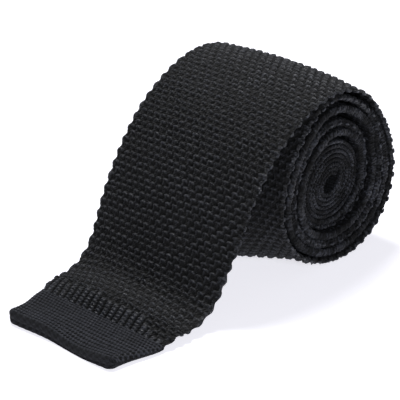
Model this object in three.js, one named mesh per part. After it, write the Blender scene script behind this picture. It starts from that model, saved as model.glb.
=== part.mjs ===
// A square-ended knit tie, folded in half at the neck and rolled up from the fold, with its
// front blade running off the top of the roll and down to the surface in front of it.
// Millimetres, +Z up. +X runs from the free end to the roll and Y along the roll's axis.
import * as THREE from 'three';

// Widths of the strip
const bladeWidth = 60;
const neckWidth = 43;
const tailWidth = 52;
const hemEndWidth = 47;

// Thickness of each knit
const bladeThickness = 2.6;
const tailThickness = 2.0;
const neckThickness = 1.2;
const hemThickness = 3.2;
const tailHemThickness = 2.2;

// Lengths measured along the strip
const hemLength = 17;
const tailHemLength = 15;

// How the tie is rolled
const eyeRadius = 4.4;
const neckTurns = 3.4;
const bladeTurns = 2.6;
const taperTurns = 1.0;
const layerGap = 0.3;
const widenTurns = 1.6;
const nearAlign = 0.7;
const rollLean = 2.4;
const leaveAngle = THREE.MathUtils.degToRad(50);
const leanAngle = THREE.MathUtils.degToRad(-40);
const tailEndTurns = 0.04;

// The free strip in front of the roll
const stripRun = 56;
const stripLift = 6.2;
const bowHeight = 4.5;
const jointGap = 0.3;

// How finely the curves are stepped
const stepsPerTurn = 20;
const stepsPerRow = 3;
const foldSteps = 4;
const nearGrid = 0.02;

// Where the soft roll bulges. depth is a share of the roll's radius, and a higher sharpness makes
// a narrower bulge.
const bulgeRows = [
  { at: 'sag low at the back', degrees: -42, depth: 0.13, sharpness: 4 },
  { at: 'slack turn under the strip', degrees: 175, depth: 0.17, sharpness: 3 },
  { at: 'second turn up under the crest', degrees: 104, depth: 0.2, sharpness: 14 },
];

// The strip from the top of its ribs over its crest. reach is the share of the way from the hem
// to the roll's axis, rise the share of the crest's height, bow and width shares of bowHeight
// and bladeWidth.
const stripRows = [
  { at: 'rib top', reach: 0.081, rise: 0.027, bow: 0.89, width: 0.965 },
  { at: 'foot', reach: 0.178, rise: 0.038, bow: 1.0, width: 0.99 },
  { at: 'knee', reach: 0.244, rise: 0.095, bow: 0.93, width: 1 },
  { at: 'shin', reach: 0.308, rise: 0.231, bow: 0.8, width: 1 },
  { at: 'lower slope', reach: 0.359, rise: 0.352, bow: 0.71, width: 1 },
  { at: 'middle slope', reach: 0.41, rise: 0.474, bow: 0.64, width: 1 },
  { at: 'upper slope', reach: 0.461, rise: 0.58, bow: 0.58, width: 1 },
  { at: 'shoulder', reach: 0.52, rise: 0.682, bow: 0.51, width: 1 },
  { at: 'brow', reach: 0.597, rise: 0.79, bow: 0.44, width: 1 },
  { at: 'temple', reach: 0.684, rise: 0.874, bow: 0.36, width: 1 },
  { at: 'crown', reach: 0.797, rise: 0.951, bow: 0.24, width: 1 },
  { at: 'crest', reach: 0.904, rise: 0.989, bow: 0.13, width: 1 },
  { at: 'back', reach: 1.062, rise: 0.976, bow: 0.04, width: 1 },
];

// The plain hem from its free edge to the ribs. reach is a share of hemLength, flare the share of
// the way from the free edge's width to the blade's, and height a share of hemThickness.
const hemRows = [
  { at: 'free edge', reach: 0, flare: -0.06, height: 0.6 },
  { at: 'rounded top', reach: 0.05, flare: 0, height: 0.92 },
  { at: 'pillow', reach: 0.2, flare: 0.12, height: 1 },
  { at: 'middle', reach: 0.6, flare: 0.42, height: 0.95 },
  { at: 'seam', reach: 1, flare: 0.62, height: 0.85 },
];

// Smooth step from 0 to 1 and its running integral, which stays level before 0 and rises at
// one for one after 1
function ease(share) {
  const s = THREE.MathUtils.clamp(share, 0, 1);
  return s * s * (3 - 2 * s);
}

function easedRun(share) {
  if (share <= 0) {
    return 0;
  }
  return share < 1 ? share ** 3 - share ** 4 / 2 : share - 0.5;
}

function mix(from, to, share) {
  return from + (to - from) * share;
}

// Turns are counted outwards from the fold in the roll's eye. Both plies thicken from the thin
// neck knit to the blade's and tail's knit within one taper.
const rollTurns = neckTurns + bladeTurns;
const neckPitch = 2 * neckThickness + 2 * layerGap;
const bladePitch = bladeThickness + tailThickness + 2 * layerGap;

function knitShare(turn) {
  return ease((turn - neckTurns) / taperTurns);
}

function bladePly(turn) {
  return mix(neckThickness, bladeThickness, knitShare(turn));
}

function tailPly(turn) {
  return mix(neckThickness, tailThickness, knitShare(turn));
}

// The pitch grows half a turn before the plies do, so that the thicker ply has room
function bladeRadius(turn) {
  const thicker = easedRun((turn - neckTurns + 0.5) / taperTurns);
  return eyeRadius + neckPitch * turn + (bladePitch - neckPitch) * taperTurns * thicker;
}

function tailRadius(turn) {
  return bladeRadius(turn) - (bladePly(turn) + tailPly(turn)) / 2 - layerGap;
}

const rollRadius = bladeRadius(rollTurns);

// The plies are full width again this many turns out of the neck. Their near edges lie almost
// level, because the tie was rolled with one edge lined up.
function bladeWidthAt(turn) {
  return mix(neckWidth, bladeWidth, ease((turn - neckTurns) / widenTurns));
}

function tailWidthAt(turn) {
  return mix(neckWidth, tailWidth, ease((turn - neckTurns) / widenTurns));
}

// How far the soft roll's outer turns bulge out at an angle, as a share of their radius
function bulge(angle) {
  let depth = 0;
  for (const row of bulgeRows) {
    const away = angle - THREE.MathUtils.degToRad(row.degrees);
    depth += row.depth * ((1 + Math.cos(away)) / 2) ** row.sharpness;
  }
  return depth;
}

// One station of the roll: a place on the ply's middle line, with the radial direction as its
// normal. The side is the ply's own radius, thickness and width functions.
const bladeSide = { radius: bladeRadius, thickness: bladePly, width: bladeWidthAt, out: 1 };
const tailSide = { radius: tailRadius, thickness: tailPly, width: tailWidthAt, out: -1 };

function gridStation(side, step) {
  const turn = rollTurns - step / stepsPerTurn;
  const angle = leaveAngle - (step / stepsPerTurn) * 2 * Math.PI;
  const share = side.radius(turn) / rollRadius;
  const radius = side.radius(turn) * (1 + bulge(angle) * share ** 3);
  const lean = rollLean * share ** 2 * Math.max(0, Math.cos(angle - leanAngle));
  return {
    x: radius * Math.cos(angle),
    z: radius * Math.sin(angle),
    nx: side.out * Math.cos(angle),
    nz: side.out * Math.sin(angle),
    y: -lean - nearAlign * (bladeWidth - side.width(turn)) / 2,
    thickness: side.thickness(turn),
    width: side.width(turn),
    bow: 0,
  };
}

function mixStations(first, second, share) {
  const mixed = {};
  for (const key of Object.keys(first)) {
    mixed[key] = mix(first[key], second[key], share);
  }
  return mixed;
}

// A station at any turn lies on the chord between its two neighbours on the grid, so that the
// facets of all plies stay parallel
function rollStation(side, turn) {
  const step = (rollTurns - turn) * stepsPerTurn;
  const before = Math.floor(step + 1e-9);
  return mixStations(gridStation(side, before), gridStation(side, before + 1), step - before);
}

// Stations from one turn to another, in either direction, with every grid step between them
function rollStations(side, fromTurn, toTurn) {
  const firstStep = (rollTurns - fromTurn) * stepsPerTurn;
  const lastStep = (rollTurns - toTurn) * stepsPerTurn;
  const inwards = lastStep > firstStep ? 1 : -1;
  const stations = [rollStation(side, fromTurn)];
  const start = inwards > 0 ? Math.floor(firstStep + nearGrid) + 1 : Math.ceil(firstStep - nearGrid) - 1;
  for (let step = start; inwards * (lastStep - step) > nearGrid; step += inwards) {
    stations.push(gridStation(side, step));
  }
  stations.push(rollStation(side, toTurn));
  return stations;
}

// Part of a turn that a length covers at a ply's radius
function turnsFor(length, radius) {
  return length / (2 * Math.PI * radius);
}

// The lowest point of the outermost turn sets the height of the roll's axis
function axisHeight() {
  let lowest = 0;
  for (const station of rollStations(bladeSide, rollTurns, rollTurns - 1)) {
    lowest = Math.min(lowest, station.z + (station.nz * station.thickness) / 2);
  }
  return -lowest;
}

const rollHeight = axisHeight();
const rollReach = hemLength + stripRun + rollRadius;

function placeOnRoll(stations) {
  return stations.map((station) => ({ ...station, x: station.x + rollReach, z: station.z + rollHeight }));
}

// A ply's section at a station: two rounded edges, with the top and bottom bowed between them.
// Points are given as shares of the half width and of the half thickness.
const fullSection = [
  { across: 1, up: 0 },
  { across: 0.95, up: 1 },
  { across: 0.5, up: 1 },
  { across: 0, up: 1 },
  { across: -0.5, up: 1 },
  { across: -0.95, up: 1 },
  { across: -1, up: 0 },
  { across: -0.95, up: -1 },
  { across: -0.5, up: -1 },
  { across: 0, up: -1 },
  { across: 0.5, up: -1 },
  { across: 0.95, up: -1 },
];
const flatSection = fullSection.filter((point) => Math.abs(point.across) > 0.9);

function sectionPoints(station, section) {
  return section.map((point) => {
    const offset = (point.up * station.thickness) / 2 - station.bow * point.across ** 2;
    return new THREE.Vector3(
      station.x + station.nx * offset,
      station.y + (point.across * station.width) / 2,
      station.z + station.nz * offset,
    );
  });
}

// A closed body through a row of sections
function loft(stations, section) {
  const count = section.length;
  const points = stations.flatMap((station) => sectionPoints(station, section));
  const faces = [];
  for (let row = 0; row + 1 < stations.length; row += 1) {
    for (let k = 0; k < count; k += 1) {
      const a = row * count + k;
      const b = row * count + ((k + 1) % count);
      faces.push(a, b, a + count, b, b + count, a + count);
    }
  }
  const last = (stations.length - 1) * count;
  for (let k = 1; k + 1 < count; k += 1) {
    faces.push(0, k + 1, k);
    faces.push(last, last + k, last + k + 1);
  }
  const geometry = new THREE.BufferGeometry().setFromPoints(points);
  geometry.setIndex(faces);
  geometry.computeVertexNormals();
  return geometry;
}

// The front blade: from its ribs at the hem, up the slope, over the top and into the roll
function bladeStations() {
  const onRoll = placeOnRoll(rollStations(bladeSide, rollTurns, neckTurns));
  const crestHeight = rollHeight + rollRadius + stripLift;
  const floorHeight = bladeThickness / 2;
  const seamHeight = hemThickness / 2;
  const seam = {
    x: hemLength + jointGap,
    z: seamHeight,
    width: mix(hemEndWidth, bladeWidth, hemRows.at(-1).flare),
    bow: 0,
  };
  const rows = stripRows.map((row) => ({
    x: mix(hemLength, rollReach, row.reach),
    z: floorHeight + bowHeight * row.bow + (crestHeight - floorHeight) * row.rise,
    width: bladeWidth * row.width,
    bow: bowHeight * row.bow,
  }));
  const leave = { x: onRoll[0].x, z: onRoll[0].z, width: bladeWidth, bow: 0 };
  const knots = [seam, ...rows, leave];
  const guides = [{ x: 0, z: seamHeight }, ...knots, onRoll[1]];
  const curve = new THREE.CatmullRomCurve3(
    guides.map((guide) => new THREE.Vector3(guide.x, 0, guide.z)),
    false,
    'centripetal',
  );
  const stations = [];
  for (let row = 0; row + 1 < knots.length; row += 1) {
    for (let step = 0; step < stepsPerRow; step += 1) {
      const share = step / stepsPerRow;
      const along = (row + 1 + share) / (guides.length - 1);
      const place = curve.getPoint(along);
      const heading = curve.getTangent(along);
      stations.push({
        x: place.x,
        y: mix(0, onRoll[0].y, (row + share) / (knots.length - 1)),
        z: place.z,
        nx: -heading.z,
        nz: heading.x,
        thickness: bladeThickness,
        width: mix(knots[row].width, knots[row + 1].width, share),
        bow: mix(knots[row].bow, knots[row + 1].bow, share),
      });
    }
  }
  // The end that meets the hem is square to the surface
  stations[0].nx = 0;
  stations[0].nz = 1;
  return [...stations, ...onRoll];
}

// The neck: both plies in the middle of the roll and the tight fold between them at its eye
function neckStations() {
  const bladeStart = neckTurns - turnsFor(jointGap, bladeRadius(neckTurns));
  const tailStart = neckTurns - turnsFor(jointGap, tailRadius(neckTurns));
  const foldTurn = rollTurns - Math.floor(rollTurns * stepsPerTurn) / stepsPerTurn;
  const outer = rollStations(bladeSide, bladeStart, foldTurn);
  const inner = rollStations(tailSide, foldTurn, tailStart);
  const first = outer.at(-1);
  const second = inner[0];
  const foldRadius = Math.hypot(first.x - second.x, first.z - second.z) / 2;
  const fold = [];
  for (let step = 1; step < foldSteps; step += 1) {
    const turned = (step / foldSteps) * Math.PI;
    const nx = first.nx * Math.cos(turned) + first.nz * Math.sin(turned);
    const nz = first.nz * Math.cos(turned) - first.nx * Math.sin(turned);
    fold.push({
      ...mixStations(first, second, 0.5),
      x: (first.x + second.x) / 2 + nx * foldRadius,
      z: (first.z + second.z) / 2 + nz * foldRadius,
      nx,
      nz,
    });
  }
  return placeOnRoll([...outer, ...fold, ...inner]);
}

// The narrow tail, and the plain hem at its end, under the blade near the top of the roll
const tailEnd = rollTurns - tailEndTurns;
const tailHemStart = tailEnd - turnsFor(tailHemLength, tailRadius(tailEnd));

function tailStations() {
  const end = tailHemStart - turnsFor(jointGap, tailRadius(tailHemStart));
  return placeOnRoll(rollStations(tailSide, neckTurns, end));
}

function tailHemStations() {
  const stations = rollStations(tailSide, tailHemStart, tailEnd);
  return placeOnRoll(stations.map((station) => ({ ...station, thickness: tailHemThickness })));
}

// The plain hem at the blade's end lies flat on the surface
function hemStations() {
  return hemRows.map((row) => {
    const thickness = hemThickness * row.height;
    return {
      x: hemLength * row.reach,
      y: 0,
      z: thickness / 2,
      nx: 0,
      nz: 1,
      thickness,
      width: mix(hemEndWidth, bladeWidth, row.flare),
      bow: 0,
    };
  });
}

const honeycombKnit = new THREE.MeshStandardMaterial({ color: 0x222326, roughness: 0.85, metalness: 0 });
const plainKnit = new THREE.MeshStandardMaterial({ color: 0x2c2d31, roughness: 0.8, metalness: 0 });
const tailKnit = new THREE.MeshStandardMaterial({ color: 0x1d1e21, roughness: 0.85, metalness: 0 });

function addPiece(group, name, stations, section, material) {
  const mesh = new THREE.Mesh(loft(stations, section), material);
  mesh.name = name;
  group.add(mesh);
}

const tie = new THREE.Group();
addPiece(tie, 'blade', bladeStations(), fullSection, honeycombKnit);
addPiece(tie, 'blade_hem', hemStations(), fullSection, plainKnit);
addPiece(tie, 'neck', neckStations(), flatSection, plainKnit);
addPiece(tie, 'tail', tailStations(), flatSection, tailKnit);
addPiece(tie, 'tail_hem', tailHemStations(), flatSection, plainKnit);

// The origin is in the middle of the footprint, on the surface
const box = new THREE.Box3().setFromObject(tie);
const middle = box.getCenter(new THREE.Vector3());
tie.position.set(-middle.x, -middle.y, -box.min.z);

export default tie;
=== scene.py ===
"""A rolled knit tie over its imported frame: honeycomb knit, ribs, plain hems and a thin neck in the roll."""
import math

import bpy
import numpy as np
from bpy.props import FloatProperty, FloatVectorProperty, PointerProperty
from bpy.types import Operator, Panel, PropertyGroup
from mathutils import Matrix, Vector


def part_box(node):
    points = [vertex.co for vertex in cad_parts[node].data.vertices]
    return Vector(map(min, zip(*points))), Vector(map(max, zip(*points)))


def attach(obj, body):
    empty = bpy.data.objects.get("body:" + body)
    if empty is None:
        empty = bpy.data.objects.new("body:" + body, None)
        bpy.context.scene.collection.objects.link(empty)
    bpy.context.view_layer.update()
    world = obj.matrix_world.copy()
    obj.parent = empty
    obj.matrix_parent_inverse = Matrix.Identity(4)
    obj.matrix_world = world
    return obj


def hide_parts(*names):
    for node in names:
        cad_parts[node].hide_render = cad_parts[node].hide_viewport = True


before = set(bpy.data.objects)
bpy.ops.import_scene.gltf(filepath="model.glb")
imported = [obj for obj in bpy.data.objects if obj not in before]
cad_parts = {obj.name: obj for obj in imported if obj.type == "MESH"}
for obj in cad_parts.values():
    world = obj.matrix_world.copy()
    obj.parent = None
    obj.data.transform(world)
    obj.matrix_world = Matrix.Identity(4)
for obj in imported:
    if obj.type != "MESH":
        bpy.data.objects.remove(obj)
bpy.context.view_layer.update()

bl_info = {
    "name": "Rolled knit tie",
    "version": (1, 0, 0),
    "blender": (4, 5, 0),
    "location": "3D View > Sidebar > Knit tie",
    "description": "Makes a knit tie that is folded at the neck, rolled up, and laid on a surface",
    "category": "Add Mesh",
}

MM = 0.001
FULL_TURN = 2 * math.pi

# The roll, in millimetres and turns, as the solids have it
EYE_RADIUS = 4.4
NECK_TURNS = 3.4
BLADE_TURNS = 2.6
TAPER_TURNS = 1.0
TAPER_LEAD = 0.5
LAYER_GAP = 0.3
WIDEN_TURNS = 1.6
NEAR_ALIGN = 0.7
TAIL_ALIGN = 0.95
ROLL_LEAN = 2.4
LEAVE_ANGLE = math.radians(50)
LEAVE_TURNS = 0.1
LEAN_ANGLE = math.radians(-40)
TAIL_END_TURNS = 0.04
ROLL_TURNS = NECK_TURNS + BLADE_TURNS

# The outermost turn is slack under the strip and hangs forward and down there, in millimetres. It is fully
# slack from the spread's distance in from the near edge on.
SLACK_FORWARD = 12
SLACK_DOWN = 2
SLACK_SPREAD = 32
SLACK_ANGLE = math.radians(-133)
SLACK_SHARPNESS = 6

# The middle of the strip stands higher over the crest, in millimetres. A span is where a hump starts, how
# long it takes to rise, where it ends and how long it takes to fall, here past the end of the strip.
CREST_LIFT = 1.8
CREST_SPAN = (-40, 20, 8, 16)

# The turns below the strip ride up under it, in millimetres. A share goes with how many turns in it is, and
# the span is in turns.
UNDER_LIFT = 2.9
UNDER_SHARES = [(1, 1), (2, 0.45)]
UNDER_SPAN = (-0.09, 0.06, 0.1, 0.12)

# The eye is squashed, by a share of its radius
EYE_SQUASH = 0.22
EYE_ANGLE = math.radians(35)

# Where the soft roll bulges: the angle in degrees, the share of the radius, and the sharpness
BULGES = [
    (-42, 0.115, 4),
    (175, 0.17, 3),
    (104, 0.34, 10),
    (57, 0.045, 14),
]
BULGE_SPREAD = 2

# The plies, in millimetres
BLADE_THICKNESS = 2.6
TAIL_THICKNESS = 2.0
NECK_THICKNESS = 1.2
HEM_LENGTH = 17
HEM_THICKNESS = 3.2
TAIL_HEM_LENGTH = 15
TAIL_HEM_OVERLAP = 0.2
SEAM_FLARE = 0.62
EDGE_BAND = 2.4
LOWEST_POINT = 0.03

# How closely the routes, the fold at the eye and the cloth's width are sampled
SAMPLES_PER_TURN = 360
ROUTE_STEP = 0.2
FOLD_SAMPLES = 24
SHORTEST_STEP = 1e-6

# The free strip. Each row is the share of the way from the hem to the roll's axis, the share of the
# crest's height, and the shares of the bow's height and the blade's width.
STRIP_RUN = 56
STRIP_LIFT = 6.2
BOW_HEIGHT = 4.5
STRIP_ROWS = [
    (0.081, 0.027, 0.89, 0.945),
    (0.178, 0.038, 1.0, 0.955),
    (0.244, 0.095, 0.93, 0.965),
    (0.308, 0.231, 0.8, 0.98),
    (0.359, 0.352, 0.71, 1),
    (0.41, 0.474, 0.64, 1),
    (0.461, 0.58, 0.58, 1),
    (0.52, 0.682, 0.51, 1),
    (0.597, 0.79, 0.44, 1),
    (0.684, 0.874, 0.36, 1),
    (0.797, 0.951, 0.24, 1),
    (0.904, 0.989, 0.13, 1),
    (1.062, 0.976, 0.04, 1),
]

# The folded edge of the hem: each row is a place in from the free edge and a height, in millimetres. The
# top ends and the fold begins at one of the rows.
HEM_RING = [
    (17.6, 2.7),
    (15.5, 2.95),
    (12, 3.1),
    (7, 3.3),
    (2.4, 3.75),
    (0.9, 3.75),
    (0.2, 3.2),
    (0.05, 2.3),
    (0.25, 1.55),
    (0.5, 1.2),
    (0.3, 0.95),
    (0.15, 0.6),
    (0.8, 0.12),
    (2.5, 0.04),
    (17.6, 0.04),
]
HEM_FOLD_ROW = 4
HEM_COLUMNS = 221
HEM_STEP = 0.22
HEM_ROUNDING = 2.6
HEM_KNIT_DEPTH = 0.55
HEM_BELLY = 2.6

# Loops of yarn on the blade's edges: the first three in rows of stitches, the others in millimetres
LOOP_EVERY = 2
LOOP_FOOT = 0.3
LOOP_START = 0.4
LOOP_OUT = 0.1
LOOP_RADIUS = 0.36


def colour(code):
    """Linear colour of an sRGB hex value."""
    shares = [int(code[start : start + 2], 16) / 255 for start in (1, 3, 5)]
    return [s / 12.92 if s <= 0.04045 else ((s + 0.055) / 1.055) ** 2.4 for s in shares]


# Sizes and colours that a user would change


class KnitTieSizes(PropertyGroup):
    blade_width: FloatProperty(
        name="Blade width", description="Width of the front blade", default=60 * MM, unit="LENGTH"
    )
    neck_width: FloatProperty(
        name="Neck width", description="Width of the thin middle", default=43 * MM, unit="LENGTH"
    )
    tail_width: FloatProperty(
        name="Tail width", description="Width of the back half", default=52 * MM, unit="LENGTH"
    )
    hem_end_width: FloatProperty(
        name="Hem end width",
        description="Width of the blade at its free edge",
        default=47 * MM,
        unit="LENGTH",
    )
    stitch_width: FloatProperty(
        name="Stitch width",
        description="One honeycomb stitch across the blade",
        default=3.0 * MM,
        unit="LENGTH",
    )
    row_height: FloatProperty(
        name="Row height",
        description="One row of honeycomb stitches along the blade",
        default=2.25 * MM,
        unit="LENGTH",
    )
    relief: FloatProperty(
        name="Relief", description="Depth of the holes between stitches", default=1.45 * MM, unit="LENGTH"
    )
    rib_length: FloatProperty(
        name="Rib length", description="Length of the ribs above the hem", default=7.0 * MM, unit="LENGTH"
    )
    loop_reach: FloatProperty(
        name="Edge loop reach",
        description="How far the edge loops stand out",
        default=0.3 * MM,
        unit="LENGTH",
    )


class KnitTieColours(PropertyGroup):
    yarn: FloatVectorProperty(
        name="Yarn",
        description="Colour of the yarn on top of a stitch",
        default=colour("#303239"),
        subtype="COLOR",
    )
    # Painted shade: this dark colour is mixed into the yarn the deeper a point lies in a hole
    painted_hole_shade: FloatVectorProperty(
        name="Hollow",
        description="Colour of the yarn deep in a hole",
        default=colour("#030304"),
        subtype="COLOR",
    )
    plain: FloatVectorProperty(
        name="Plain knit",
        description="Colour of the plain knit",
        default=colour("#383a42"),
        subtype="COLOR",
    )
    floor: FloatVectorProperty(
        name="Floor",
        description="Colour of the surface below",
        default=colour("#dcdce2"),
        subtype="COLOR",
    )


def sizes():
    return bpy.context.scene.knit_tie_sizes


def colours():
    return bpy.context.scene.knit_tie_colours


# The route of the cloth


def ease(share):
    """Smooth step from 0 to 1."""
    s = np.clip(share, 0, 1)
    return s * s * (3 - 2 * s)


def eased_run(share):
    """Running integral of the smooth step."""
    s = np.clip(share, 0, 1)
    return s**3 - s**4 / 2 + np.maximum(share - 1, 0)


def hump(place, start, rise, end, fall):
    """0 up to the start, 1 once it has risen, and 0 again once it has fallen after the end."""
    return ease((place - start) / rise) * (1 - ease((place - end) / fall))


def mix(first, second, share):
    return first + (second - first) * share


def knit_share(turn):
    return ease((turn - NECK_TURNS) / TAPER_TURNS)


def blade_ply(turn):
    return mix(NECK_THICKNESS, BLADE_THICKNESS, knit_share(turn))


def tail_ply(turn):
    return mix(NECK_THICKNESS, TAIL_THICKNESS, knit_share(turn))


def blade_radius(turn):
    neck_pitch = 2 * NECK_THICKNESS + 2 * LAYER_GAP
    blade_pitch = BLADE_THICKNESS + TAIL_THICKNESS + 2 * LAYER_GAP
    thicker = eased_run((turn - NECK_TURNS + TAPER_LEAD) / TAPER_TURNS)
    return EYE_RADIUS + neck_pitch * turn + (blade_pitch - neck_pitch) * TAPER_TURNS * thicker


def tail_radius(turn):
    return blade_radius(turn) - (blade_ply(turn) + tail_ply(turn)) / 2 - LAYER_GAP


ROLL_RADIUS = float(blade_radius(np.array(ROLL_TURNS)))
ROLL_REACH = HEM_LENGTH + STRIP_RUN + ROLL_RADIUS


def bulge(angle):
    """How far the roll bulges out at an angle, as a share of its radius."""
    depth = np.zeros_like(angle)
    for degrees, share, sharpness in BULGES:
        depth += share * ((1 + np.cos(angle - math.radians(degrees))) / 2) ** sharpness
    return depth


def roll_route(radius_at, thickness_at, wide, first_turn, last_turn, knit_align=NEAR_ALIGN):
    """Rows of x, y, z, width, thickness and bow along one ply in the roll, about its axis."""
    count = int(abs(last_turn - first_turn) * SAMPLES_PER_TURN) + 2
    turn = np.linspace(first_turn, last_turn, count)
    angle = LEAVE_ANGLE - (ROLL_TURNS - turn) * FULL_TURN
    share = radius_at(turn) / ROLL_RADIUS
    radius = radius_at(turn) * (1 + bulge(angle) * share**BULGE_SPREAD)
    radius *= 1 + EYE_SQUASH * (1 - share) ** 3 * np.cos(2 * (angle - EYE_ANGLE))
    for turns_in, part in UNDER_SHARES:
        radius += part * UNDER_LIFT * hump(turn - ROLL_TURNS + turns_in, *UNDER_SPAN)
    narrow = sizes().neck_width / MM
    width = mix(narrow, wide, ease((turn - NECK_TURNS) / WIDEN_TURNS))
    lean = ROLL_LEAN * share**2 * np.maximum(0, np.cos(angle - LEAN_ANGLE))
    align = mix(NEAR_ALIGN, knit_align, knit_share(turn))
    y = -lean - align * (sizes().blade_width / MM - width) / 2
    rows = [radius * np.cos(angle), y, radius * np.sin(angle), width, thickness_at(turn), 0 * turn]
    return np.stack(rows, axis=1)


def roll_height():
    """Height of the roll's axis over the surface."""
    outer = roll_route(blade_radius, blade_ply, sizes().blade_width / MM, ROLL_TURNS, ROLL_TURNS - 1)
    return float(-(outer[:, 2] - BLADE_THICKNESS / 2).min())


def on_roll(rows):
    return rows + np.array([ROLL_REACH, 0, roll_height(), 0, 0, 0])


def blade_roll(first_turn, last_turn):
    return on_roll(roll_route(blade_radius, blade_ply, sizes().blade_width / MM, first_turn, last_turn))


def tail_roll(first_turn, last_turn):
    wide = sizes().tail_width / MM
    return on_roll(roll_route(tail_radius, tail_ply, wide, first_turn, last_turn, TAIL_ALIGN))


def spline(knots, values, places):
    """Natural cubic spline through rows of values at the knots, read at the places."""
    gap = np.diff(knots)
    slope = np.diff(values, axis=0) / gap[:, None]
    system = np.eye(len(knots))
    right = np.zeros_like(values)
    for i in range(1, len(knots) - 1):
        system[i, i - 1 : i + 2] = gap[i - 1], 2 * (gap[i - 1] + gap[i]), gap[i]
        right[i] = 6 * (slope[i] - slope[i - 1])
    curve = np.linalg.solve(system, right)
    cell = np.clip(np.searchsorted(knots, places, side="right") - 1, 0, len(knots) - 2)
    h = gap[cell][:, None]
    after = (places - knots[cell])[:, None] / h
    before = 1 - after
    bend = (before**3 - before) * curve[cell] + (after**3 - after) * curve[cell + 1]
    return before * values[cell] + after * values[cell + 1] + bend * h**2 / 6


def length_along(points):
    """The distance along a line of points in a plane, from 0 at the first."""
    return np.concatenate([[0], np.cumsum(np.hypot(*np.diff(points, axis=0).T))])


def seam_width():
    return mix(sizes().hem_end_width, sizes().blade_width, SEAM_FLARE) / MM


def strip_route():
    """Rows of x, y, z, width, thickness and bow from the hem's seam to where the strip joins the roll."""
    wide = sizes().blade_width / MM
    low = BLADE_THICKNESS / 2
    crest = roll_height() + ROLL_RADIUS + STRIP_LIFT
    seam = [HEM_LENGTH, 0, HEM_THICKNESS / 2, seam_width(), BLADE_THICKNESS, 0]
    guides = [[0, *seam[1:]], seam]
    for reach, rise, bow, width in STRIP_ROWS:
        x = mix(HEM_LENGTH, ROLL_REACH, reach)
        z = low + BOW_HEIGHT * bow + (crest - low) * rise
        guides.append([x, 0, z, wide * width, BLADE_THICKNESS, BOW_HEIGHT * bow])
    leave = blade_roll(ROLL_TURNS, ROLL_TURNS - LEAVE_TURNS)
    guides += [list(leave[0]), list(leave[len(leave) // 2]), list(leave[-1])]
    guides = np.array(guides, float)
    knots = length_along(guides[:, [0, 2]])
    places = np.arange(knots[1], knots[-3], ROUTE_STEP)
    rows = spline(knots, guides, places)
    rows[:, 1] = leave[0][1] * ease((places - knots[1]) / (knots[-3] - knots[1]))
    return rows


def route_of(rows):
    """The rows with the distance along the cloth in front of them and the normal after them."""
    step = np.hypot(*np.diff(rows[:, [0, 2]], axis=0).T)
    keep = np.concatenate([[True], step > SHORTEST_STEP])
    rows = rows[keep]
    along = length_along(rows[:, [0, 2]])
    heading = np.gradient(rows[:, [0, 2]], along, axis=0)
    heading /= np.hypot(*heading.T)[:, None]
    normal = np.stack([-heading[:, 1], heading[:, 0]], axis=1)
    return np.column_stack([along, rows, normal])


def read_route(route, places):
    """The route's columns at distances along it, as one dictionary."""
    names = ("x", "y", "z", "width", "thickness", "bow", "nx", "nz")
    found = {"s": places}
    for column, name in enumerate(names, start=1):
        found[name] = np.interp(places, route[:, 0], route[:, column])
    return found


# Knit patterns. Each gives a height from 0, deep in a hole, to 1, on top of a stitch.


def scatter(first, second):
    """A repeatable number from 0 to 1 for each pair of whole numbers."""
    wave = np.sin(first * 12.9898 + second * 78.233) * 43758.5453
    return wave - np.floor(wave)


def spot(value, middle, width):
    """1 at the middle, fading to 0 within about twice the width."""
    return np.exp(-(((value - middle) / width) ** 2))


def rounded(value, reach, squareness):
    """1 in the middle, rounding off to 0 at the reach on either side."""
    return np.sqrt(np.clip(1 - np.abs(value / reach) ** squareness, 0, 1))


def honeycomb(across, along):
    """Staggered stitches like overlapping bricks: a thin raised bar across the top that turns down at its
    ends, a lower body of cords below it, and a dark hole at one side of its foot. across counts stitches and
    along counts rows, and all places and widths are shares of one."""
    height = np.zeros(np.broadcast(across, along).shape)
    for ahead in range(3):
        row = np.ceil(along) + ahead
        shift = 0.5 * np.mod(row, 2)
        column = np.round(across - shift)
        chance = scatter(column, row)
        other = scatter(row + 3, column)
        beside = across - shift - column + 0.14 * (chance - 0.5)
        droop = 1.5 * np.abs(beside) ** 2.2
        tilt = 0.26 * (other - 0.5) + 0.35 * (other - 0.4) * beside
        below = row - along - droop + tilt
        bar = spot(below, 0.22, 0.17) * (0.74 + 0.26 * chance)
        cords = 0.7 + 0.3 * np.cos(FULL_TURN * 2.6 * beside + 4 * chance)
        hole = 0.95 * spot(beside, -0.22, 0.17) * spot(below, 0.8, 0.32)
        body = 0.66 * hump(below, 0.05, 0.2, 0.9, 0.7) * cords * (1 - hole)
        stitch = np.maximum(bar * rounded(beside, 0.46, 4), body * rounded(beside, 0.4, 3))
        height = np.maximum(height, stitch)
    return height


def ribs(across, along_mm):
    """Broad cords along the blade with fine cross ridges, and narrow dark grooves between them."""
    rib = np.round(across)
    beside = across - rib + 0.05 * np.sin(along_mm / 1.7 + across)
    phase = 3 * np.abs(beside) + 2 * scatter(rib, 5)
    ridge = 0.5 + 0.5 * np.cos(FULL_TURN * along_mm / 1.2 + phase)
    depth = 0.8 + 0.2 * scatter(rib + 3, 2)
    return 1 - depth * (1 - rounded(beside, 0.39, 2.6) * (0.56 + 0.44 * ridge))


def edge_knobs(along, depth, side):
    """Uneven knobs of yarn on an edge of the cloth, from about -1 to 1. along and depth are in millimetres,
    and the waves' lengths are unlike each other, so that no knob repeats."""
    wander = 0.9 * np.sin(along / 3.1 + side) + 0.8 * np.sin(along / 1.37 + 2 * depth)
    fine = np.sin(FULL_TURN * along / 1.5 + wander) * np.cos(2.9 * depth + 2.1 * np.sin(along / 1.9))
    finer = np.sin(FULL_TURN * along / 0.95 + 2 * wander) * np.sin(4.7 * depth + 1.3 * along)
    broad = np.sin(along / 5.3 + 1.3 * side) * np.sin(along / 2.9 + 0.7)
    return 0.5 * fine + 0.35 * finer + 0.4 * broad


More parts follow.
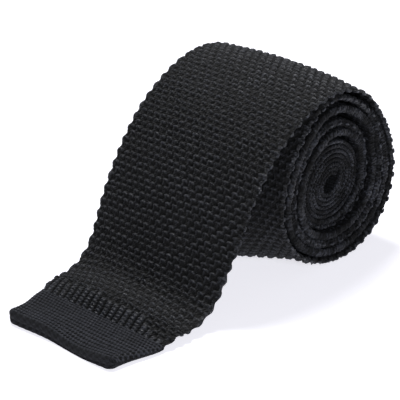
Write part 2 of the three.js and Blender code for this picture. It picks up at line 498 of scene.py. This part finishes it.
def plain(across_mm, along_mm, wale=1.3, course=1.4):
    """Fine plain knit: shallow wales with a small dark hole in each stitch, staggered from row to row."""
    row = np.round(along_mm / course)
    place = across_mm / wale + 0.5 * np.mod(row, 2)
    beside = place - np.round(place)
    above = along_mm / course - row
    chance = scatter(row, np.round(place))
    hole = (0.8 + 0.4 * chance) * spot(beside, 0, 0.36) * spot(above, 0, 0.34)
    vee = 0.5 + 0.5 * np.cos(FULL_TURN * (above + np.abs(beside)))
    return 0.78 + 0.22 * vee - hole


def blade_pattern(across, along):
    """Height of the blade's face: ribs at the hem, then honeycomb. The ribs end unevenly and are shorter
    towards the near edge."""
    rib_length = sizes().rib_length / MM
    row = sizes().row_height / MM
    shorter = 0.8 * ease((-across - 4) / 5)
    uneven = 2.4 * (scatter(np.round(across), 0 * across + 7) - 0.5)
    rib_end = rib_length * (1 - shorter) + uneven
    share = ease((along - rib_end + 0.5) / 1.6)
    return mix(ribs(across, along), honeycomb(across, (along - rib_length) / row), share)


def blade_face(share, along, half):
    stitch = sizes().stitch_width / sizes().blade_width
    return blade_pattern(np.broadcast_to(share / 2 / stitch, (len(along), len(share))), along)


def fine_face(share, along, half):
    along = np.broadcast_to(along, (len(along), len(share)))
    return 0.7 * plain(share * half, along, wale=1.0, course=1.1)


# Meshes


def to_frame(points):
    """Millimetres from the hem's free edge to metres in the frame."""
    low, high = (np.array(corner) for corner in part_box("blade_hem"))
    return points * MM + np.array([low[0], (low[1] + high[1]) / 2, 0])


def smooth_mesh(name, points, faces, relief, across, along):
    """A smooth-shaded mesh object. relief is kept as an attribute, across and along as its UV map."""
    mesh = bpy.data.meshes.new(name)
    mesh.from_pydata(points.tolist(), [], faces)
    mesh.polygons.foreach_set("use_smooth", np.ones(len(mesh.polygons), bool))
    mesh.attributes.new("relief", "FLOAT", "POINT").data.foreach_set("value", relief.astype(np.float32))
    corners = np.zeros(len(mesh.loops), np.int32)
    mesh.loops.foreach_get("vertex_index", corners)
    yarn_map = mesh.uv_layers.new(name="yarn_map")
    places = np.stack([across[corners], along[corners]], axis=1)
    yarn_map.data.foreach_set("uv", places.astype(np.float32).ravel())
    mesh.validate()
    mesh.update()
    piece = bpy.data.objects.new(name, mesh)
    bpy.context.scene.collection.objects.link(piece)
    return piece


def ring_faces(rows, count):
    """Quads between closed rings of points, with a cap at each end."""
    faces = []
    for row in range(rows - 1):
        base = row * count
        for k in range(count):
            after = (k + 1) % count
            faces.append((base + k, base + after, base + count + after, base + count + k))
    faces.append(tuple(range(count - 1, -1, -1)))
    last = (rows - 1) * count
    faces.append(tuple(range(last, last + count)))
    return faces


def even(count):
    """Places across a face, from -1 to 1 and equally far apart."""
    return np.linspace(-1, 1, count)


def edge_heavy(fine, coarse, band):
    """Places across a face, close together within a band at each edge and wide apart between."""
    near = np.linspace(1 - band, 1, fine)
    return np.concatenate([-near[::-1], np.linspace(-(1 - band), 1 - band, coarse + 2)[1:-1], near])


def hang_slack(x, y, z):
    """Lets the outermost turn hang forward and down under the strip, more towards its far edge."""
    angle = np.arctan2(z - roll_height(), x - ROLL_REACH)
    facing = ((1 + np.cos(angle - SLACK_ANGLE)) / 2) ** SLACK_SHARPNESS
    share = facing * ease((y + sizes().blade_width / MM / 2) / SLACK_SPREAD)
    return x - SLACK_FORWARD * share, z - SLACK_DOWN * share


def ply_mesh(
    name,
    route,
    start,
    end,
    step,
    upper,
    lower,
    pattern,
    relief,
    scallop=0.0,
    swell=0.0,
    knobs=0.0,
    blunt=2,
    flare=0.0,
    slack=False,
):
    """One ply of cloth from start to end along a route, with a row of points at each step.

    upper and lower are the places across its two faces, from -1 to 1, and pattern gives the height of either
    face over holes as deep as the relief. Within a band at the edges, flare widens the ply, scallop makes it
    wave from row to row, and knobs roughen it, and swell thickens all of it. These are in millimetres. A
    higher blunt makes the edges squarer, and a ply with slack hangs forward under the strip."""
    rows = max(2, int(round((end - start) / step)) + 1)
    at = read_route(route, np.linspace(start, end, rows))
    sides = [(upper, 1), (lower[::-1][1:-1], -1)]
    share = np.concatenate([places for places, side in sides])
    side = np.concatenate([np.full(len(places), side) for places, side in sides])
    column = {key: value[:, None] for key, value in at.items()}
    half = column["width"] / 2
    inset = column["thickness"] / 2 + swell
    lateral = share[None, :] * half
    near_edge = np.clip((np.abs(lateral) - half + inset) / inset, 0, 1)
    lift = (1 - near_edge**blunt) ** (1 / blunt)
    height = pattern(share, column["s"], half)
    offset = side * lift * (inset - relief * (1 - height)) - column["bow"] * share**2
    row_height = sizes().row_height / MM
    beat = np.cos(math.pi * ((column["s"] - sizes().rib_length / MM) / row_height - 0.4))
    near = ease((np.abs(lateral) - half + EDGE_BAND) / EDGE_BAND)
    knob = edge_knobs(column["s"], offset, np.sign(share))
    lateral = lateral + np.sign(share) * near * (flare + scallop * beat + knobs * knob)
    # Near the edges the relief follows the knobs, so the colour is painted dark between them as shade and
    # stays the yarn's own where they stand out
    if knobs:
        height = mix(height, np.clip(0.45 + 0.75 * knob, 0, 1), ease((near - 0.25) / 0.6))
    x = column["x"] + column["nx"] * offset
    z = column["z"] + column["nz"] * offset
    y = column["y"] + lateral
    if slack:
        x, z = hang_slack(x, y, z)
    points = np.stack([x, y, np.maximum(z, LOWEST_POINT)], axis=2).reshape(-1, 3)
    along = np.broadcast_to(column["s"], x.shape).ravel()
    return smooth_mesh(
        name, to_frame(points), ring_faces(rows, len(share)), height.ravel(), lateral.ravel(), along
    )


def hem_mesh():
    """The hem that lies on the surface, as a ring of points round its folded edge for each column."""
    table = np.array(HEM_RING, float)
    length = length_along(table)
    around = np.arange(0, length[-1], HEM_STEP)
    ring = spline(length, table, around)
    shape = (HEM_COLUMNS, len(around))
    share = np.linspace(-1, 1, HEM_COLUMNS)[:, None]
    around = np.broadcast_to(around[None, :], shape)
    x = np.broadcast_to(ring[None, :, 0], shape)
    z = np.broadcast_to(ring[None, :, 1], shape)
    half = mix(sizes().hem_end_width / MM, seam_width(), ease(x / HEM_LENGTH)) / 2
    lateral = share * half
    near_edge = np.clip((np.abs(lateral) - half + HEM_ROUNDING) / HEM_ROUNDING, 0, 1)
    round_off = np.sqrt(1 - near_edge**2)
    # The knit shows on top, and the fold below it is only a little uneven. The fold's relief is set low, so
    # it is painted dark, a painted shade on the hem's front face.
    on_top = 1 - ease((around - length[HEM_FOLD_ROW] - 0.5) / 1.4)
    grain = 0.1 * np.sin(2.3 * lateral + 1.7 * np.sin(around * 1.1)) * np.sin(around * 2.9)
    height = mix(0.42 + grain, plain(lateral, around), on_top)
    sunk = HEM_KNIT_DEPTH * (1 - height)
    # The upper side waves towards the free edge and lifts at the far corner
    wave = (0.8 * np.sin(share * 4.6 - 0.3) + 2.4 * np.clip(share, 0, 1) ** 3) * (1 - ease(x / 10))
    upper = np.clip(z / 1.2, 0, 1)
    middle = HEM_THICKNESS / 2
    z = middle + (z - middle - sunk) * (0.12 + 0.88 * round_off) + wave * upper
    # The free edge is a little wavy too, and its corners are drawn back
    out = (1 - ease(x / 12)) * (HEM_BELLY + 0.4 * np.sin(4.2 * share - 2.4))
    back = 1.5 * near_edge**2 * (1 - ease(x / 4))
    points = np.stack([x + back - out, lateral, np.maximum(z, LOWEST_POINT)], axis=2).reshape(-1, 3)
    faces = ring_faces(*shape)
    return smooth_mesh(
        "blade_hem_cloth", to_frame(points), faces, height.ravel(), lateral.ravel(), around.ravel()
    )


def tube_loops(name, ends, normals, reach, radius, bends=8, sides=6):
    """Small yarn loops in one mesh. Each row of ends is a loop's two feet, and each row of normals the
    direction that it stands out in."""
    points = []
    faces = []
    for (first, second), out in zip(ends, normals):
        middle = (first + second) / 2
        half = (second - first) / 2
        lift = np.cross(half, out)
        lift /= np.linalg.norm(lift)
        base = len(points)
        for bend in range(bends + 1):
            turned = math.pi * bend / bends
            centre = middle - half * math.cos(turned) + out * reach * math.sin(turned)
            heading = half * math.sin(turned) + out * reach * math.cos(turned)
            inward = np.cross(heading, lift)
            inward /= np.linalg.norm(inward)
            for side in range(sides):
                angle = FULL_TURN * side / sides
                points.append(centre + radius * (math.cos(angle) * inward + math.sin(angle) * lift))
        for bend in range(bends):
            for side in range(sides):
                a = base + bend * sides + side
                b = base + bend * sides + (side + 1) % sides
                faces.append((a, a + sides, b + sides, b))
        faces.append(tuple(base + side for side in range(sides)))
        last = base + bends * sides
        faces.append(tuple(last + side for side in range(sides - 1, -1, -1)))
    points = np.array(points)
    count = len(points)
    ring = np.tile(np.arange(sides), count // sides)
    rank = np.arange(count) // sides
    return smooth_mesh(name, to_frame(points), faces, np.full(count, 0.9), ring * 0.5, rank * 0.3)


# Materials. The yarn's noises have the size of patches where the dye took a little more or less, of bundles
# of filaments, drawn wide enough to show, and of loops of yarn seen end on.

PATCH = 9 * MM
FILAMENTS = 0.35 * MM
LOOP_END = 0.9 * MM
BUMP_DEPTH = 0.2 * MM
SPOT_DEPTH = 0.45 * MM


def add_node(tree, kind, settings=None, links=None):
    """Adds a node, sets its properties and socket values, and links its inputs. A socket goes by its name,
    or by its number where it has none of its own."""
    node = tree.nodes.new(kind)
    for name, value in (settings or {}).items():
        if isinstance(name, int) or name in node.inputs:
            node.inputs[name].default_value = value
        else:
            setattr(node, name, value)
    for name, output in (links or {}).items():
        tree.links.new(output, node.inputs[name])
    return node


def yarn_material(name, top, strand_mm, lustre, darkest_painted_spot):
    """Twisted polyester yarn, piece dyed: filaments too fine to see one by one give a soft lustre along the
    top of each stitch. The colour is darkened towards black the deeper a point lies in the holes, a painted
    shade. The last argument is the shade of its darkest spots: spots the size of loop ends are painted darker
    as shade between the loops and lighter as highlights on them."""
    made = bpy.data.materials.get(name)
    if made:
        return made
    material = bpy.data.materials.new(name)
    material.use_nodes = True
    tree = material.node_tree
    tree.nodes.clear()
    relief = add_node(tree, "ShaderNodeAttribute", {"attribute_name": "relief"})
    on_cloth = {"Vector": add_node(tree, "ShaderNodeTexCoord").outputs["Object"]}
    patches = add_node(tree, "ShaderNodeTexNoise", {"Scale": 1 / PATCH, "Detail": 2.0}, on_cloth)
    fuzz = add_node(tree, "ShaderNodeTexNoise", {"Scale": 1 / FILAMENTS, "Detail": 3.0}, on_cloth)
    # Painted shade: the lower the relief, the more of the dark hole colour is mixed into the yarn's own,
    # darkening the holes and the lower body of each stitch
    hole_shade_share = add_node(
        tree,
        "ShaderNodeMapRange",
        {"From Min": 0.3, "From Max": 0.98},
        {"Value": relief.outputs["Fac"]},
    )
    ground = add_node(
        tree,
        "ShaderNodeMix",
        {"data_type": "RGBA", 6: (*colours().painted_hole_shade, 1), 7: (*top, 1)},
        {"Factor": hole_shade_share.outputs["Result"]},
    )
    # Spots the size of loop ends, painted darker as shade between the loops and lighter as highlights on
    # them; the darker the darkest spots, the brighter the brightest
    spots = add_node(tree, "ShaderNodeTexNoise", {"Scale": 1 / LOOP_END, "Detail": 1.0}, on_cloth)
    painted_spot_light_and_shade = add_node(
        tree,
        "ShaderNodeMapRange",
        {"From Min": 0.36, "From Max": 0.64, "To Min": darkest_painted_spot, "To Max": 1.75 - 0.75 * darkest_painted_spot},
        {"Value": spots.outputs["Fac"]},
    )
    uneven = add_node(
        tree,
        "ShaderNodeMath",
        {"operation": "MULTIPLY"},
        {0: patches.outputs["Fac"], 1: fuzz.outputs["Fac"]},
    )
    shade = add_node(
        tree,
        "ShaderNodeMapRange",
        {"From Min": 0.12, "From Max": 0.4, "To Min": 0.72, "To Max": 1.28},
        {"Value": uneven.outputs[0]},
    )
    both = add_node(
        tree,
        "ShaderNodeMath",
        {"operation": "MULTIPLY"},
        {0: shade.outputs["Result"], 1: painted_spot_light_and_shade.outputs["Result"]},
    )
    dyed = add_node(
        tree,
        "ShaderNodeVectorMath",
        {"operation": "SCALE"},
        {0: ground.outputs[2], "Scale": both.outputs[0]},
    )
    # Twisted strands across the stitch, at the strand's own width
    yarn_place = add_node(tree, "ShaderNodeUVMap", {"uv_map": "yarn_map"})
    strands = add_node(
        tree,
        "ShaderNodeTexWave",
        {
            "wave_type": "BANDS",
            "bands_direction": "DIAGONAL",
            "Scale": 0.31 / strand_mm,
            "Distortion": 1.4,
            "Detail": 1.0,
        },
        {"Vector": yarn_place.outputs["UV"]},
    )
    strand_bump = add_node(
        tree,
        "ShaderNodeBump",
        {"Strength": 0.8, "Distance": BUMP_DEPTH},
        {"Height": strands.outputs["Fac"]},
    )
    bump = add_node(
        tree,
        "ShaderNodeBump",
        {"Strength": 0.9, "Distance": BUMP_DEPTH},
        {"Height": fuzz.outputs["Fac"], "Normal": strand_bump.outputs["Normal"]},
    )
    spot_bump = add_node(
        tree,
        "ShaderNodeBump",
        {"Strength": 1.0, "Distance": SPOT_DEPTH * (1 - darkest_painted_spot)},
        {"Height": spots.outputs["Fac"], "Normal": bump.outputs["Normal"]},
    )
    rough = add_node(
        tree,
        "ShaderNodeMapRange",
        {"From Min": 0.4, "From Max": 0.95, "To Min": 0.85, "To Max": 0.28},
        {"Value": relief.outputs["Fac"]},
    )
    shader = add_node(
        tree,
        "ShaderNodeBsdfPrincipled",
        {
            "IOR": 1.5,
            "Specular IOR Level": lustre,
            "Sheen Weight": 0.02,
            "Sheen Roughness": 0.45,
            "Sheen Tint": (0.75, 0.78, 0.9, 1),
        },
        {
            "Base Color": dyed.outputs[0],
            "Normal": spot_bump.outputs["Normal"],
            "Roughness": rough.outputs["Result"],
        },
    )
    add_node(tree, "ShaderNodeOutputMaterial", links={"Surface": shader.outputs["BSDF"]})
    return material


def honeycomb_yarn():
    name = "polyester yarn, honeycomb knit"
    return yarn_material(name, colours().yarn, strand_mm=0.5, lustre=0.36, darkest_painted_spot=0.45)


def edge_yarn():
    name = "polyester yarn, edges seen end on"
    return yarn_material(name, colours().yarn, strand_mm=0.5, lustre=0.2, darkest_painted_spot=0.05)


def plain_yarn():
    name = "polyester yarn, plain knit"
    return yarn_material(name, colours().plain, strand_mm=0.35, lustre=0.2, darkest_painted_spot=0.85)


def floor_material():
    """Matt white acrylic over a light: no gloss, with a very faint grain. The light from below keeps it white
    round the tie, so that only a soft shadow stays."""
    material = bpy.data.materials.new("white acrylic, matt, lit from below")
    material.use_nodes = True
    tree = material.node_tree
    tree.nodes.clear()
    place = add_node(tree, "ShaderNodeTexCoord")
    grain = add_node(
        tree,
        "ShaderNodeTexNoise",
        {"Scale": 1 / (0.8 * MM), "Detail": 2.0},
        {"Vector": place.outputs["Object"]},
    )
    bump = add_node(
        tree,
        "ShaderNodeBump",
        {"Strength": 0.02, "Distance": 0.05 * MM},
        {"Height": grain.outputs["Fac"]},
    )
    shader = add_node(
        tree,
        "ShaderNodeBsdfPrincipled",
        {
            "Base Color": (*colours().floor, 1),
            "Roughness": 0.95,
            "Specular IOR Level": 0.0,
            "Emission Strength": 0.7,
            "Emission Color": (0.95, 0.94, 1, 1),
        },
        {"Normal": bump.outputs["Normal"]},
    )
    add_node(tree, "ShaderNodeOutputMaterial", links={"Surface": shader.outputs["BSDF"]})
    return material


# Pieces


def blade_route():
    """The blade from its seam to the neck. Over the crest its middle stands higher than its edges."""
    route = route_of(np.concatenate([strip_route(), blade_roll(ROLL_TURNS, NECK_TURNS)]))
    leave = route_of(strip_route())[-1, 0]
    lift = CREST_LIFT * hump(route[:, 0] - leave, *CREST_SPAN)
    route[:, 1] += lift * route[:, 7]
    route[:, 3] += lift * route[:, 8]
    route[:, 6] += lift
    return route


def blade_marks():
    """Distances along the blade: the end of the free strip, of the outermost turn, and of the blade."""
    strip_end = route_of(strip_route())[-1, 0]
    wrap = route_of(blade_roll(ROLL_TURNS, ROLL_TURNS - 1))[-1, 0]
    return strip_end, strip_end + wrap, blade_route()[-1, 0]


def dress(piece, material, slot, *nodes):
    """Gives a piece its material and body, and hides the frame's parts for the nodes that it stands for. The
    slot is not used.
    """
    piece.data.materials.append(material)
    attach(piece, "root")
    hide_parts(*nodes)


class KNITTIE_OT_strip(Operator):
    """Makes the free strip of the blade, from its ribs to the top of the roll"""

    bl_idname = "knit_tie.strip"
    bl_label = "Blade strip"

    def execute(self, context):
        route = blade_route()
        strip_end, _, _ = blade_marks()
        piece = ply_mesh(
            "blade_strip",
            route,
            0,
            strip_end,
            step=0.33,
            upper=even(191),
            lower=even(49),
            pattern=blade_face,
            relief=sizes().relief / MM,
            scallop=0.42,
            knobs=0.15,
            flare=0.35,
        )
        dress(piece, honeycomb_yarn(), "honeycomb_knit", "blade")
        return {"FINISHED"}


class KNITTIE_OT_wrap(Operator):
    """Makes the outermost turn of the blade round the roll"""

    bl_idname = "knit_tie.wrap"
    bl_label = "Outermost turn"

    def execute(self, context):
        route = blade_route()
        strip_end, wrap_end, _ = blade_marks()
        piece = ply_mesh(
            "blade_wrap",
            route,
            strip_end,
            wrap_end,
            step=0.42,
            upper=even(171),
            lower=edge_heavy(9, 8, 0.12),
            pattern=blade_face,
            relief=sizes().relief / MM,
            scallop=0.08,
            swell=0.3,
            knobs=0.4,
            blunt=3,
            slack=True,
        )
        dress(piece, honeycomb_yarn(), "honeycomb_knit", "blade")
        return {"FINISHED"}


class KNITTIE_OT_inner(Operator):
    """Makes the inner turns of the blade, finely knit at their edges only"""

    bl_idname = "knit_tie.inner"
    bl_label = "Inner turns"

    def execute(self, context):
        route = blade_route()
        _, wrap_end, end = blade_marks()
        columns = edge_heavy(24, 8, 0.3)
        piece = ply_mesh(
            "blade_inner",
            route,
            wrap_end,
            end,
            step=0.45,
            upper=columns,
            lower=columns,
            pattern=blade_face,
            relief=0.6,
            scallop=0.15,
            swell=0.5,
            knobs=0.6,
            blunt=5,
        )
        dress(piece, edge_yarn(), "honeycomb_knit", "blade")
        return {"FINISHED"}


class KNITTIE_OT_edge_loops(Operator):
    """Makes the small yarn loops along both edges of the blade"""

    bl_idname = "knit_tie.edge_loops"
    bl_label = "Edge loops"

    def execute(self, context):
        route = blade_route()
        row = sizes().row_height / MM
        first = sizes().rib_length / MM + LOOP_START * row
        middles = np.arange(first, route[-1, 0] - LOOP_EVERY * row, LOOP_EVERY * row)
        foot = LOOP_FOOT * row
        before, after = (read_route(route, middles + move) for move in (-foot, foot))
        ends = []
        outs = []
        for side in (-1, 1):
            for i in range(len(middles)):
                feet = []
                for place in (before, after):
                    drop = place["bow"][i]
                    x = place["x"][i] - place["nx"][i] * drop
                    y = place["y"][i] + side * (place["width"][i] / 2 + LOOP_OUT)
                    z = place["z"][i] - place["nz"][i] * drop
                    feet.append(np.array([x, y, z]))
                ends.append(feet)
                outs.append(np.array([0, side, 0]))
        piece = tube_loops("blade_edge_loops", ends, outs, sizes().loop_reach / MM, LOOP_RADIUS)
        dress(piece, honeycomb_yarn(), "honeycomb_knit", "blade")
        return {"FINISHED"}


class KNITTIE_OT_hem(Operator):
    """Makes the plain hem that lies flat on the surface"""

    bl_idname = "knit_tie.hem"
    bl_label = "Blade hem"

    def execute(self, context):
        piece = hem_mesh()
        dress(piece, plain_yarn(), "plain_knit", "blade_hem")
        return {"FINISHED"}


class KNITTIE_OT_neck(Operator):
    """Makes the thin neck, both its plies and the fold in the roll's eye"""

    bl_idname = "knit_tie.neck"
    bl_label = "Neck"

    def execute(self, context):
        outer = blade_roll(NECK_TURNS, 0)
        inner = tail_roll(0, NECK_TURNS)
        first = outer[-1]
        second = inner[0]
        middle = (first + second) / 2
        spoke = first[[0, 2]] - middle[[0, 2]]
        fold = []
        for turned in np.linspace(0, math.pi, FOLD_SAMPLES)[1:-1]:
            row = middle.copy()
            cos, sin = math.cos(turned), math.sin(turned)
            row[0] += spoke[0] * cos + spoke[1] * sin
            row[2] += spoke[1] * cos - spoke[0] * sin
            fold.append(row)
        route = route_of(np.concatenate([outer, fold, inner]))
        end = route[-1, 0]
        columns = edge_heavy(20, 4, 0.3)
        piece = ply_mesh(
            "neck_cloth",
            route,
            0,
            end,
            step=0.45,
            upper=columns,
            lower=columns,
            pattern=fine_face,
            relief=0.3,
            swell=0.2,
            knobs=0.4,
            blunt=5,
        )
        dress(piece, edge_yarn(), "plain_knit", "neck")
        return {"FINISHED"}


class KNITTIE_OT_tail(Operator):
    """Makes the tail and the plain hem at its end"""

    bl_idname = "knit_tie.tail"
    bl_label = "Tail"

    def execute(self, context):
        last_turn = ROLL_TURNS - TAIL_END_TURNS
        route = route_of(tail_roll(NECK_TURNS, last_turn))
        end = route[-1, 0]
        seam = end - TAIL_HEM_LENGTH
        columns = edge_heavy(20, 4, 0.25)
        tail = ply_mesh(
            "tail_cloth",
            route,
            0,
            seam,
            step=0.5,
            upper=columns,
            lower=columns,
            pattern=blade_face,
            relief=0.6,
            scallop=0.15,
            swell=0.65,
            knobs=0.6,
            blunt=5,
        )
        dress(tail, edge_yarn(), "honeycomb_knit", "tail")
        hem_start = seam - TAIL_HEM_OVERLAP
        hem = ply_mesh(
            "tail_hem_cloth",
            route,
            hem_start,
            end,
            step=0.4,
            upper=even(81),
            lower=even(81),
            pattern=fine_face,
            relief=0.3,
            swell=0.5,
            knobs=0.4,
            blunt=5,
        )
        dress(hem, edge_yarn(), "plain_knit", "tail_hem")
        return {"FINISHED"}


# The studio. The camera's distance and what it aims at are in millimetres from the hem's free edge, and the
# softboxes' places in metres in the frame.

CAMERA_AZIMUTH = math.radians(-48.2)
CAMERA_ELEVATION = math.radians(27.0)
CAMERA_DISTANCE = 672
CAMERA_LENS = 189
SIGHT_RIGHT = 43.6
SIGHT_UP = 45.9
FLOOR_REACH = 3.0
WORLD_LIGHT = 0.12
SOFTBOX_SIZE = 0.4
SOFTBOX_AIM = (0, 0, 0.03)
SOFTBOXES = [
    ("softbox above", (0.2, 0.35, 0.95), 10.5, (1, 1, 1)),
    ("softbox at the side", (-0.55, -0.85, 0.5), 5.2, (0.93, 0.96, 1)),
]


def camera_axes():
    """Right, up and looking directions of the photograph's camera."""
    cos_az, sin_az = math.cos(CAMERA_AZIMUTH), math.sin(CAMERA_AZIMUTH)
    cos_el, sin_el = math.cos(CAMERA_ELEVATION), math.sin(CAMERA_ELEVATION)
    look = np.array([-sin_az * cos_el, cos_az * cos_el, -sin_el])
    right = np.array([cos_az, sin_az, 0])
    return right, np.cross(right, look), look


def add_camera(scene):
    right, up, look = camera_axes()
    place = to_frame(SIGHT_RIGHT * right + SIGHT_UP * up - CAMERA_DISTANCE * look)
    camera = bpy.data.objects.new("camera", bpy.data.cameras.new("camera"))
    camera.data.lens = CAMERA_LENS
    camera.data.sensor_width = 36
    camera.data.clip_start = 0.01
    turn = Matrix((right, up, -look)).transposed().to_4x4()
    camera.matrix_world = Matrix.Translation(place) @ turn
    scene.collection.objects.link(camera)
    scene.camera = camera


def add_floor(scene):
    low, high = -FLOOR_REACH, FLOOR_REACH
    corners = [(low, low, 0), (high, low, 0), (high, high, 0), (low, high, 0)]
    mesh = bpy.data.meshes.new("floor")
    mesh.from_pydata(corners, [], [(0, 1, 2, 3)])
    floor = bpy.data.objects.new("floor", mesh)
    floor.data.materials.append(floor_material())
    scene.collection.objects.link(floor)


def add_softbox(scene, name, place, power, tint):
    light = bpy.data.lights.new(name, "AREA")
    light.shape = "DISK"
    light.size = SOFTBOX_SIZE
    light.energy = power
    light.color = tint
    lamp = bpy.data.objects.new(name, light)
    lamp.location = place
    lamp.rotation_euler = (Vector(SOFTBOX_AIM) - Vector(place)).to_track_quat("-Z", "Y").to_euler()
    scene.collection.objects.link(lamp)


class KNITTIE_OT_stage(Operator):
    """Makes the white floor, the soft lights and the camera"""

    bl_idname = "knit_tie.stage"
    bl_label = "Stage"

    def execute(self, context):
        scene = context.scene
        add_camera(scene)
        add_floor(scene)
        world = bpy.data.worlds.new("studio")
        world.use_nodes = True
        background = world.node_tree.nodes["Background"]
        background.inputs["Color"].default_value = (1, 1, 1, 1)
        background.inputs["Strength"].default_value = WORLD_LIGHT
        scene.world = world
        scene.view_settings.view_transform = "Standard"
        for softbox in SOFTBOXES:
            add_softbox(scene, *softbox)
        return {"FINISHED"}


class KNITTIE_PT_panel(Panel):
    bl_label = "Knit tie"
    bl_idname = "KNITTIE_PT_panel"
    bl_space_type = "VIEW_3D"
    bl_region_type = "UI"
    bl_category = "Knit tie"

    def draw(self, context):
        for group in (context.scene.knit_tie_sizes, context.scene.knit_tie_colours):
            for name in group.bl_rna.properties.keys():
                if name not in ("rna_type", "name"):
                    self.layout.prop(group, name)
        for maker in MAKERS:
            self.layout.operator(maker.bl_idname)


MAKERS = (
    KNITTIE_OT_stage,
    KNITTIE_OT_strip,
    KNITTIE_OT_wrap,
    KNITTIE_OT_inner,
    KNITTIE_OT_edge_loops,
    KNITTIE_OT_hem,
    KNITTIE_OT_neck,
    KNITTIE_OT_tail,
)
CLASSES = (KnitTieSizes, KnitTieColours, *MAKERS, KNITTIE_PT_panel)


def register():
    for each in CLASSES:
        bpy.utils.register_class(each)
    bpy.types.Scene.knit_tie_sizes = PointerProperty(type=KnitTieSizes)
    bpy.types.Scene.knit_tie_colours = PointerProperty(type=KnitTieColours)


def unregister():
    del bpy.types.Scene.knit_tie_colours
    del bpy.types.Scene.knit_tie_sizes
    for each in reversed(CLASSES):
        bpy.utils.unregister_class(each)


def main():
    register()
    for maker in MAKERS:
        group, name = maker.bl_idname.split(".")
        getattr(getattr(bpy.ops, group), name)()


if __name__ == "__main__":
    main()
